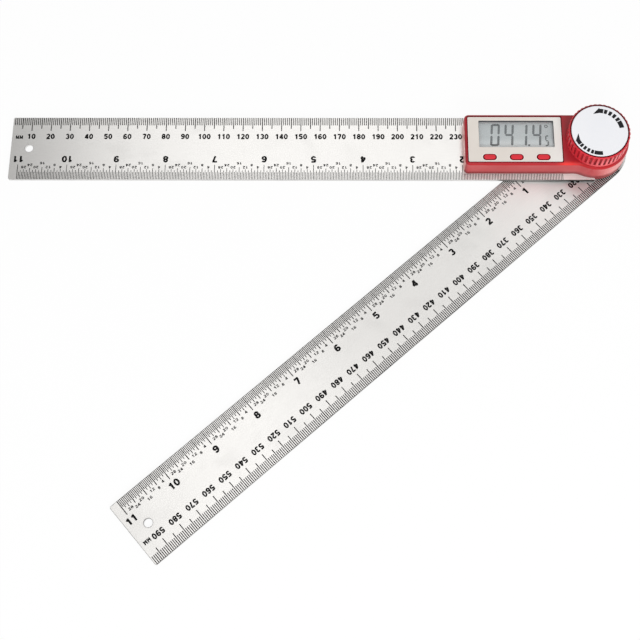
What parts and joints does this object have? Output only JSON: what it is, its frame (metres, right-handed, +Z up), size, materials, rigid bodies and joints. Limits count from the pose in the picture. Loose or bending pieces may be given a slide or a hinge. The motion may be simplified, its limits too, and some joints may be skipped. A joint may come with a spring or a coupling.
{
  "type": "angle finder",
  "caption": "Digital angle finder: two flat steel rule arms on a pivot, with a display head on one arm and a ribbed clamping knob.",
  "frame": {"origin": "on the pivot axis, in the underside of the lower arm", "axes": "+Z up out of the display face, the upper arm along -X, the lower arm open by 41.4 degrees towards -Y"},
  "size_m": [0.3174, 0.2289, 0.0236],
  "materials": {
    "blade_steel": "satin stainless with a fine cross-hatched brush and black etched scales",
    "post_steel": "turned stainless",
    "red_shell": "smooth moulded plastic, semi-gloss",
    "red_knob": "smooth moulded plastic, semi-gloss",
    "red_keys": "moulded plastic, satin",
    "white_cap": "smooth plastic label face",
    "bezel_white": "satin film, warm off-white",
    "clear_window": "clear acrylic",
    "display_glass": "grey-green reflective display",
    "soft_strip": "layered silicone",
    "board_laminate": "green solder mask",
    "chip_black": "moulded epoxy",
    "bright_metal": "nickel plated",
    "cell_steel": "satin nickel-plated can",
    "screw_steel": "zinc plated",
    "brass_parts": "turned brass",
    "white_acetal": "natural acetal",
    "flex_film": "amber polyimide",
    "black_plastic": "fine textured black"
  },
  "bodies": {
    "display_arm": {"display_blade": "blade_steel", "housing_shell": "red_shell", "bezel_plate": "bezel_white", "display_lens": "clear_window", "lcd_panel": "display_glass", "elastomer_strips": "soft_strip", "main_board": "board_laminate", "driver_chip": "chip_black", "crystal_can": "bright_metal", "chip_parts": "chip_black", "key_domes": "bright_metal", "stator_board": "board_laminate", "sensor_ribbon": "flex_film", "battery_tray": "black_plastic", "contact_plus": "bright_metal", "contact_minus": "bright_metal", "coin_cell": "cell_steel", "housing_screws": "screw_steel", "board_screws": "screw_steel", "pivot_bush": "brass_parts", "friction_washer": "white_acetal", "spring_washer": "screw_steel", "knob_washer": "white_acetal"},
    "swing_arm": {"swing_blade": "blade_steel", "pivot_post": "post_steel", "rotor_hub": "white_acetal", "rotor_disc": "board_laminate"},
    "clamp_knob": {"lock_knob": "red_knob", "knob_insert": "brass_parts", "knob_cap": "white_cap"},
    "key_left": {"button_left": "red_keys"},
    "key_middle": {"button_middle": "red_keys"},
    "key_right": {"button_right": "red_keys"},
    "cover": {"battery_cover": "black_plastic"}
  },
  "joints": [
    {"name": "arm_hinge", "type": "hinge", "parent": "display_arm", "child": "swing_arm", "pos_m": [0, 0, 0], "axis": [0, 0, 1], "continuous": true},
    {"name": "knob_turn", "type": "hinge", "parent": "swing_arm", "child": "clamp_knob", "pos_m": [0, 0, 0.0145], "axis": [0, 0, 1], "range_deg": [0, 180]},
    {"name": "press_left", "type": "slide", "parent": "display_arm", "child": "key_left", "axis": [0, 0, -1], "range_m": [0, 0.0004], "stiffness_N_per_m": 800, "springref_m": -0.0006},
    {"name": "press_middle", "type": "slide", "parent": "display_arm", "child": "key_middle", "axis": [0, 0, -1], "range_m": [0, 0.0004], "stiffness_N_per_m": 800, "springref_m": -0.0006},
    {"name": "press_right", "type": "slide", "parent": "display_arm", "child": "key_right", "axis": [0, 0, -1], "range_m": [0, 0.0004], "stiffness_N_per_m": 800, "springref_m": -0.0006},
    {"name": "cover_turn", "type": "hinge", "parent": "display_arm", "child": "cover", "pos_m": [-0.046, 0, 0.0019], "axis": [0, 0, -1], "range_deg": [0, 90]}
  ]
}
